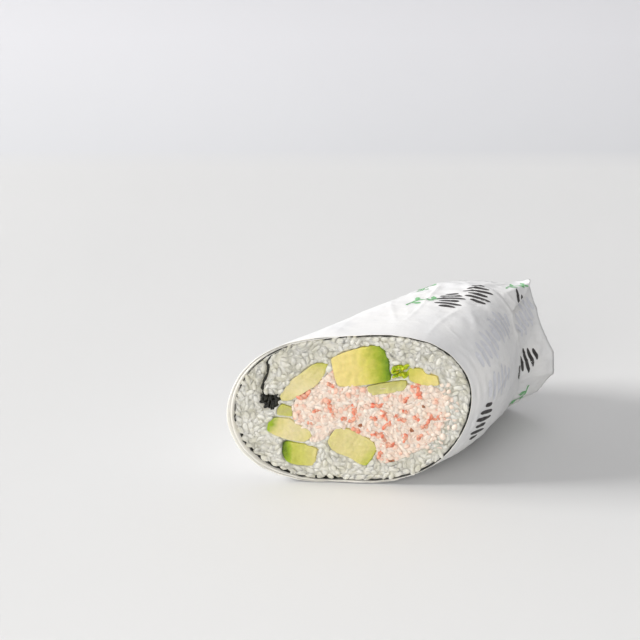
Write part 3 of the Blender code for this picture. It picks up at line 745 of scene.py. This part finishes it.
STRIPS = [chaikin(o, 1, share=0.14) for o in [AVOCADO_WEDGE, AVOCADO_TIP, *CUCUMBERS]]
LEAF_ROOM = chaikin(LEAF_SPACE, 1)
CRAB_ROOM = chaikin(CRAB_SALAD, 1)
TAIL = np.vstack([on_section(NORI_START), TAIL_PATH[:TAIL_STRAIGHT]])
CRUMPLE = np.array(TAIL_PATH[TAIL_STRAIGHT - 1 :])


# The cut face lies within these ranges of X and Z, and this is about its radius where grains line it.
FACE_X, FACE_Z = (-33, 35), (0, 60)
RIM_RADIUS = 36
# The salad thins out from just inside its edge to this far beyond it, right of one X and above one Z.
THINS_FROM, THINS_TO = -0.4, 3.6
THINS_RIGHT_OF, THINS_ABOVE = 20, 13


def free_of_strips(points):
    """How far a point of the cut face is from every strip and the leaf; negative inside one."""
    return np.min([-distance_to(points, strip) for strip in [*STRIPS, LEAF_ROOM]], axis=0)


def rice_room(points):
    """How far a point of the cut face is from anything that isn't rice; negative outside the rice."""
    room = np.minimum(distance_to(points, nori_rim(0.25)), free_of_strips(points))
    room = np.minimum(room, -distance_to(points, CRAB_ROOM))
    room = np.minimum(room, distance_from_line(points, TAIL) - 0.55)
    return np.minimum(room, distance_from_line(points, CRUMPLE) - 0.9)


def crab_room(points):
    return np.minimum(distance_to(points, CRAB_ROOM), free_of_strips(points))


def thinning_room(points):
    """Where the salad thins out into the rice, along its right side."""
    beyond = -distance_to(points, CRAB_ROOM)
    at_right = np.minimum(points[:, 0] - THINS_RIGHT_OF, points[:, 1] - THINS_ABOVE)
    return np.min([beyond - THINS_FROM, THINS_TO - beyond, at_right, free_of_strips(points)], axis=0)


def middle_and_reach(places, long):
    """A piece's middle, and how far from it the middle of each half is; a place is an X, a Z and a turn."""
    x, z, turn = np.reshape(places, (-1, 3)).T
    return np.stack([x, z], 1), np.stack([np.cos(turn) * math.cos(CUT), np.sin(turn)], 1) * long / 4


def scatter(room, spacing, margin, long, tries, seed, first=()):
    """Places for pieces with two halves each, no half closer than the spacing to one of another piece."""
    draw = np.random.default_rng(seed)
    tried = np.stack([draw.uniform(*span, tries) for span in (FACE_X, FACE_Z, (0, math.pi))], 1)
    middle, reach = middle_and_reach(tried, long)
    at_ends = np.minimum(room(middle + reach * 1.5), room(middle - reach * 1.5))
    stretch = np.array([1 / math.cos(CUT), 1])
    kept = list(first)
    before, half = middle_and_reach(kept, long)
    taken = np.concatenate([before + half, before - half]) * stretch
    for k in np.flatnonzero((room(middle) > margin) & (at_ends > margin - 0.3)):
        ends = np.array([middle[k] + reach[k], middle[k] - reach[k]]) * stretch
        if len(taken) and np.min(np.linalg.norm(taken[None] - ends[:, None], axis=2)) < spacing:
            continue
        taken = np.vstack([taken, ends])
        kept.append(tuple(tried[k]))
    return kept


def along_rim(long, seed):
    """Grains lying along the nori, further apart at the lower left, where the nori shows between them."""
    draw = np.random.default_rng(seed)
    angle, kept = 0.0, []
    while angle < 357:
        loose = 195 < angle < 262
        x, z = on_section(angle, -0.25 - draw.uniform(0.85, 1.1))
        nx, nz = on_section(angle + 1.0, -1.45)
        turn = math.atan2(nz - z, (nx - x) / math.cos(CUT)) + draw.normal(0, 0.3)
        if rice_room(np.array([[x, z]]))[0] > 0.7:
            kept.append((x, z, turn))
        width = long * (0.86 if loose else 0.70) * draw.uniform(0.85, 1.15)
        angle += math.degrees(width / RIM_RADIUS)
    return kept


def ball(segments, rings):
    """A unit ball: points and faces, its poles on the first axis."""
    a = np.pi * np.arange(1, rings)[:, None] / rings
    b = 2 * np.pi * np.arange(segments) / segments
    belt = np.stack(np.broadcast_arrays(np.cos(a), np.sin(a) * np.cos(b), np.sin(a) * np.sin(b)), -1)
    points = np.vstack([[(1, 0, 0)], belt.reshape(-1, 3), [(-1, 0, 0)]])
    low, last = len(points) - 1 - segments, len(points) - 1
    turns = [(j, (j + 1) % segments) for j in range(segments)]
    faces = [(0, 1 + j, 1 + after) for j, after in turns]
    faces += (1 + grid_faces(rings - 1, segments, True)[:, [0, 3, 2, 1]]).tolist()
    return points, faces + [(low + j, last, low + after) for j, after in turns]


def in_cut(turn, tilt, roll):
    """Directions of a piece that lies in the cut: along, across and out of it."""
    sideways = np.array([math.cos(CUT), math.sin(CUT), 0])
    up = np.array([0, 0, 1.0])
    flat = sideways * math.cos(turn) + up * math.sin(turn)
    along = flat * math.cos(tilt) + OUTWARDS * math.sin(tilt)
    across = -sideways * math.sin(turn) + up * math.cos(turn)
    out = np.cross(along, across)
    rolled = across * math.cos(roll) + out * math.sin(roll)
    return np.array([along, rolled, out * math.cos(roll) - across * math.sin(roll)])


def knife(points, proud, keep):
    """Presses whatever stands out of the cut back towards it, as the knife did."""
    limit = proud + 0.12 * waves(points, 6, 71)
    over = np.maximum(points @ OUTWARDS - limit, 0)
    return points - (over * (1 - keep))[..., None] * OUTWARDS


def pile(places, template, size, height, bend, draw, spread=0.15, tilt=0.35):
    """Many copies of a template piece, each with a size, lean and bend of its own."""
    shape, faces = template
    parts = []
    for x, z, turn in places:
        grow = np.exp(draw.normal(0, spread, 3)) * size / 2
        points = shape * grow
        curve = draw.normal(0, bend)
        points[:, 1] += curve * (points[:, 0] / grow[0]) ** 2 * grow[0]
        points *= 1 + 0.06 * waves(points + draw.uniform(0, 50, 3), size[0] * 0.7, 5)[:, None]
        ways = in_cut(turn, draw.normal(0, tilt), draw.uniform(-0.6, 0.6))
        parts.append((points @ ways + on_cut(x, z, draw.uniform(*height)), faces))
    return joined(parts)


def add_loose(name, piled, proud, keep, finish, role):
    """A pile of loose pieces, pressed back by the knife."""
    points, faces = piled
    add_mesh(name, knife(points, proud, keep), faces, [finish], *role)


def make_core(name, outline, room, recess, depth, rough, finish, slot_name, nodes):
    """The mass behind the loose pieces: lumpy in front, behind the cut, and sunk where it has no room."""
    line = evenly(outline, 220)
    middle = line.mean(0)
    rows = []
    for share in np.linspace(0.02, 1, 56):
        flat = middle + (line - middle) * share
        sunk = 1.3 * np.clip((0.35 - room(flat)) / 0.6, 0, 1) if share < 0.97 else 0
        rows.append(on_cut(*flat.T, -recess - sunk))
    face = np.array(rows)
    face += (rough * waves(face, 3.2, 13) + rough * 0.6 * waves(face, 1.6, 14))[..., None] * OUTWARDS
    front = face[-1]
    side = [
        np.stack([line[:, 0], front[:, 1] + (depth - front[:, 1]) * share, line[:, 1]], -1)
        for share in np.linspace(0, 1, 7)[1:]
    ]
    points = tapered(np.concatenate([face, np.array(side)]))
    faces = [corners[::-1] for corners in tube_faces(*points.shape[:2])]
    add_mesh(name, points, faces, [finish], slot_name, nodes)


def make_rice():
    finish = rice_look()
    draw = np.random.default_rng(31)
    template = ball(10, 8)
    size = np.array([3.9, 2.0, 1.8])
    layers = [(1.3, (-0.86, -0.34), 41), (1.7, (-0.95, -0.8), 42)]
    for k, (spacing, height, seed) in enumerate(layers):
        first = along_rim(size[0], seed + 7) if k == 0 else ()
        places = scatter(rice_room, spacing, 0.5, size[0], 40000, seed, first)
        grains = pile(places, template, size, height, 0.10, draw)
        add_loose(f"rice_grains_{k + 1}", grains, 0.15, 0.25, finish, AS_RICE)
    angles = np.arange(0, 360, 2.0)
    loose = np.clip((angles - 190) / 8, 0, 1) * np.clip((266 - angles) / 8, 0, 1)
    rim = section_point(angles, 0.0, 0.0)
    outline = on_section(angles, -0.3 + 0.22 * waves(rim, 5, 91) - 0.9 * loose)
    make_core("rice_mass", outline, rice_room, 0.24, FOOD_LENGTH, 0.24, finish, *AS_RICE)


def make_crab():
    pale = crab_look("crab_pale", colour(244, 216, 197), colour(248, 231, 216), 2.4)
    pink = crab_look("crab_pink", colour(246, 190, 166), colour(249, 214, 196), 2.4)
    coral = crab_look("crab_coral", colour(240, 122, 90), colour(250, 182, 154), 1.6)
    toasted = crab_look("crab_toasted", colour(150, 88, 48), colour(198, 132, 92), 1.0)
    draw = np.random.default_rng(57)
    template = ball(7, 5)
    size = np.array([2.6, 1.9, 1.3])
    layers = [(1.0, (-0.62, -0.3), 61), (1.2, (-0.7, -0.55), 62)]
    for k, (spacing, height, seed) in enumerate(layers):
        places = scatter(crab_room, spacing, 0.1, size[0], 50000, seed)
        tinted = [p for p in places if draw.uniform() < 0.22]
        plain = [p for p in places if p not in tinted]
        for label, part, finish in (("pale", plain, pale), ("pink", tinted, pink)):
            flakes = pile(part, template, size, height, 0.15, draw, 0.3, 0.4)
            add_loose(f"crab_{label}_{k + 1}", flakes, 0.2, 0.3, finish, AS_CRAB)
    strays = scatter(thinning_room, 1.45, 0.1, size[0], 20000, 63)
    flakes = pile(strays, template, size * 0.95, (-0.34, -0.02), 0.15, draw, 0.3, 0.4)
    add_loose("crab_strays", flakes, 0.2, 0.3, pale, AS_CRAB)
    make_flecks("crab_coral", CORAL_FLECKS, coral, template, draw, 3)
    make_flecks("crab_toasted", TOASTED_FLECKS, toasted, template, draw, 2)
    make_core("crab_mass", CRAB_ROOM, free_of_strips, 0.16, FILLING_LENGTH, 0.18, pale, *AS_CRAB)


def make_flecks(name, flecks, finish, template, draw, each):
    """Each fleck is a few short shreds lying together."""
    parts = []
    for x, z, length, turn in flecks:
        way = np.array([math.cos(math.radians(turn)) * math.cos(CUT), math.sin(math.radians(turn))])
        size = np.array([length * 0.45 + 0.6, 1.7, 1.1])
        for share in np.linspace(-0.5, 0.5, each):
            place = np.array([x, z]) + way * share * length * 0.6 + draw.normal(0, 0.18, 2)
            lean = math.radians(turn) + draw.normal(0, 0.5)
            parts.append(pile([(*place, lean)], template, size, (-0.25, 0.05), 0.2, draw, tilt=0.12))
    add_loose(name, joined(parts), 0.32, 0.3, finish, AS_CRAB)


def strip_mesh(name, outline, finish, slot_name, node, seed, proud=0.12):
    """A strip of filling: its sides run back through the roll, its cut face is dished and soft-edged."""
    line = evenly(chaikin(chaikin(outline, 1, share=0.14), 1), 120)
    middle = line.mean(0)
    inset = np.linalg.norm(line - middle, axis=1, keepdims=True)
    toward = (middle - line) / inset
    rows = []
    for depth in (FILLING_LENGTH, 30.0, 12.0):
        rows.append(np.stack([line[:, 0], np.maximum(depth, cut_y(line[:, 0]) + 6), line[:, 1]], -1))
    edge, dish = 0.25, 0.3
    for a in np.linspace(0, math.pi / 2, 7):
        flat = line + toward * edge * (1 - math.cos(a))
        rows.append(on_cut(*flat.T, proud - edge * (1 - math.sin(a))))
    for share in np.linspace(0, 1, 14)[1:]:
        flat = line + toward * (edge + (inset - edge) * share * 0.985)
        rows.append(on_cut(*flat.T, proud - dish * share * (2 - share) * 0.5))
    points = np.array(rows)
    face = points[4:]
    face += (0.16 * waves(face, 7, seed) + 0.07 * waves(face, 2.6, seed + 1))[..., None] * OUTWARDS
    add_mesh(name, points, tube_faces(*points.shape[:2]), [finish], slot_name, [node])


def across(outline, degrees):
    """A direction on a section and how far the outline reaches along it, in the shared frame."""
    way = np.array([math.cos(math.radians(degrees)), math.sin(math.radians(degrees))])
    reach = (np.asarray(outline) + SHIFT[[0, 2]]) @ way
    return (way[0], 0.0, way[1]), reach.min(), reach.max()


# Where each cucumber strip's skin side faces, and its colours from the core to the skin.
PALE = colour(232, 218, 170)
SOFT = colour(222, 210, 140)
GREEN = colour(200, 200, 92)
BRIGHT = colour(156, 182, 40)
SKIN = colour(54, 78, 4)
CUCUMBER_LOOKS = [
    (62, [(0.0, SOFT), (0.35, PALE), (0.80, SOFT), (1.0, GREEN)]),
    (110, [(0.0, GREEN), (0.5, colour(196, 190, 122)), (1.0, GREEN)]),
    (160, [(0.0, SOFT), (0.45, PALE), (0.80, SOFT), (0.93, BRIGHT), (1.0, BRIGHT)]),
    (180, [(0.0, SOFT), (0.40, colour(208, 204, 108)), (0.68, GREEN), (0.82, BRIGHT), (0.93, SKIN)]),
    (-35, [(0.0, SOFT), (0.35, colour(226, 213, 152)), (0.75, SOFT), (0.95, GREEN), (1.0, BRIGHT)]),
    (90, [(0.0, SOFT), (0.5, colour(206, 200, 132)), (1.0, colour(196, 188, 96))]),
]
# The same for the two avocado pieces.
WEDGE_LOOK = (8, [
    (0.0, colour(240, 219, 144)), (0.40, colour(234, 215, 132)), (0.62, colour(218, 208, 100)),
    (0.82, colour(168, 178, 50)), (0.94, colour(134, 160, 26)), (1.0, colour(102, 136, 12)),
])
TIP_LOOK = (150, [(0.0, colour(240, 222, 150)), (0.5, colour(232, 215, 122)), (1.0, colour(206, 202, 84))])


def make_strips():
    for k, (outline, (degrees, stops)) in enumerate(zip(CUCUMBERS, CUCUMBER_LOOKS)):
        node = f"cucumber_{k + 1}"
        finish = flesh_look(node + "_flesh", *across(outline, degrees), stops, 0.5)
        strip_mesh(f"cucumber_strip_{k + 1}", outline, finish, "cucumber_flesh", node, 80 + 3 * k)
    avocado = [
        ("avocado_wedge", AVOCADO_WEDGE, WEDGE_LOOK, 120, 0.25),
        ("avocado_tip", AVOCADO_TIP, TIP_LOOK, 130, 0.12),
    ]
    for node, outline, (degrees, stops), seed, proud in avocado:
        finish = flesh_look(node + "_flesh", *across(outline, degrees), stops, 1.6, 0.36, 0.2)
        strip_mesh(node + "_piece", outline, finish, "avocado_flesh", node, seed, proud)


def ribbon_mesh(name, path, depth, thick, finish, role, wave, seed, proud, rows, shrink=None):
    """A thin sheet that follows the path on the section and runs back into the roll, with a ragged edge;
    shrink is a function that draws its points in where the roll tapers."""
    count = len(path)
    along = np.gradient(path, axis=0)
    along /= np.linalg.norm(along, axis=1, keepdims=True)
    base = np.stack([path[:, 0], np.zeros(count), path[:, 1]], -1)
    ragged = proud + 0.3 * waves(base, 3.1, seed) + 0.15 * waves(base, 0.9, seed + 1)
    start = cut_y(path[:, 0]) - ragged
    y = start + (depth - start) * np.linspace(0, 1, rows)[:, None] ** 1.6
    spine = np.stack([np.broadcast_to(path[:, 0], y.shape), y, np.broadcast_to(path[:, 1], y.shape)], -1)
    if shrink is not None:
        spine = shrink(spine)
    sway = wave * waves(spine, 5, seed + 2)
    half = thick / 2 * (1 + 0.35 * waves(spine, 3, seed + 3))
    way = np.stack([along[:, 1], np.zeros(count), -along[:, 0]], -1)
    outer = spine + (sway + half)[..., None] * way
    inner = spine + (sway - half)[..., None] * way
    sheet_mesh(name, outer, inner, False, [finish, finish], *role)


def tapered(points):
    """Draws points in towards the axis as the roll tapers."""
    from_axis = points[..., (0, 2)] - AXIS
    angle = np.degrees(np.arctan2(from_axis[..., 1], from_axis[..., 0]))
    share = section_radius(angle, points[..., 1]) / section_radius(angle, 0.0)
    made = points.copy()
    made[..., (0, 2)] = AXIS + from_axis * share[..., None]
    return made


def make_nori():
    finish = nori_look()
    angles = np.arange(NORI_START, NORI_START - 360 - NORI_LAP, -1.0)
    tucked = np.clip((NORI_START - NORI_LAP - angles) / (NORI_START - NORI_LAP - NORI_FULL_AT), 0, 1)
    ring = on_section(angles, -0.14 - 0.6 * (1 - tucked))
    tail = chaikin(TAIL_PATH, 2, closed=False)
    path = evenly(np.vstack([tail[::-1], ring]), 640, closed=False)
    proud = np.interp(np.arange(640), [0, 70, 110], [0.16, 0.16, -0.3])
    ribbon_mesh("nori_wrap", path, FOOD_LENGTH, 0.24, finish, AS_NORI, 0.03, 150, proud, 20, tapered)
    path = evenly(chaikin(CRUMPLE_PATH, 1, closed=False, share=0.15), 240, closed=False)
    ribbon_mesh("nori_crumple", path, 20.0, 0.72, finish, AS_NORI, 0.22, 160, 0.15, 14)


def make_leaf():
    path = evenly(chaikin(LEAF_PATH, 2, closed=False), 240, closed=False)
    proud = 0.3 + 0.45 * np.sin(np.linspace(0, 19, 240))
    ribbon_mesh("lettuce_frill", path, FILLING_LENGTH, 0.78, leaf_look(), AS_LEAF, 0.2, 170, proud, 24)


# Stage, light and camera.
def make_stage():
    """A pale floor that sweeps up into a pale backdrop; in metres."""
    rows, columns = 60, 4
    forward, side = np.array([-0.669, 0.743]), np.array([0.743, 0.669])
    front, bend_at, bend, wall, half_width = -1.4, 0.41, 0.25, 1.6, 2.2
    bends_from, bends_to = 0.45, 0.75
    t = np.linspace(0, 1, rows)[:, None]
    turn = np.clip((t - bends_from) / (bends_to - bends_from), 0, 1) * math.pi / 2
    away = front + np.minimum(t / bends_from, 1) * (bend_at - front) + bend * np.sin(turn)
    up = bend * (1 - np.cos(turn)) + np.maximum(0, t - bends_to) / (1 - bends_to) * wall
    spots = away[..., None] * forward + np.linspace(-half_width, half_width, columns)[:, None] * side
    points = np.dstack([spots, np.repeat(up, columns, 1)])
    mesh = bpy.data.meshes.new("floor_sweep")
    mesh.from_pydata(points.reshape(-1, 3), [], grid_faces(rows, columns, False).tolist())
    mesh.materials.append(stage_look())
    mesh.polygons.foreach_set("use_smooth", [True] * len(mesh.polygons))
    sweep = in_scene("floor_sweep", mesh)


def add_light(name, place, size, power, tint=(1, 1, 1)):
    """A rectangular lamp that faces the burrito; in metres."""
    lamp = bpy.data.lights.new(name, "AREA")
    lamp.shape = "RECTANGLE"
    lamp.size, lamp.size_y = size
    lamp.energy = power
    lamp.color = tint
    obj = in_scene(name, lamp)
    obj.location = place
    obj.rotation_euler = (Vector((0, 0, 0.03)) - Vector(place)).to_track_quat("-Z", "Y").to_euler()


def make_light():
    world = bpy.data.worlds.new("studio")
    world.use_nodes = True
    background = world.node_tree.nodes["Background"]
    background.inputs["Color"].default_value = (0.985, 0.985, 1.0, 1)
    background.inputs["Strength"].default_value = 0.35
    bpy.context.scene.world = world
    bpy.context.scene.view_settings.view_transform = "Standard"
    warm = (1.0, 0.99, 0.98)
    add_light("key", (-2.33, -1.95, 1.68), (1.2, 1.2), 115, warm)
    add_light("fill", (0.42, -0.98, 0.36), (0.9, 0.6), 6.4, warm)
    add_light("overhead", (0.0, 0.1, 1.5), (1.0, 1.0), 2.2)


def make_camera():
    lens = bpy.data.cameras.new("camera")
    lens.lens = 78.75
    lens.sensor_width = 36
    lens.clip_start, lens.clip_end = 0.01, 20
    camera = in_scene("camera", lens)
    right = Vector((0.74314, 0.66913, 0.0))
    up = Vector((-0.2398, 0.26632, 0.93358))
    back = Vector((0.62469, -0.69378, 0.35837))
    turned = Matrix((right, up, back)).transposed().to_4x4()
    camera.matrix_world = Matrix.Translation((0.2977, -0.3784, 0.2386)) @ turned
    bpy.context.scene.camera = camera


make_paper()
make_nori()
make_rice()
make_crab()
make_strips()
make_leaf()
make_stage()
make_light()
make_camera()
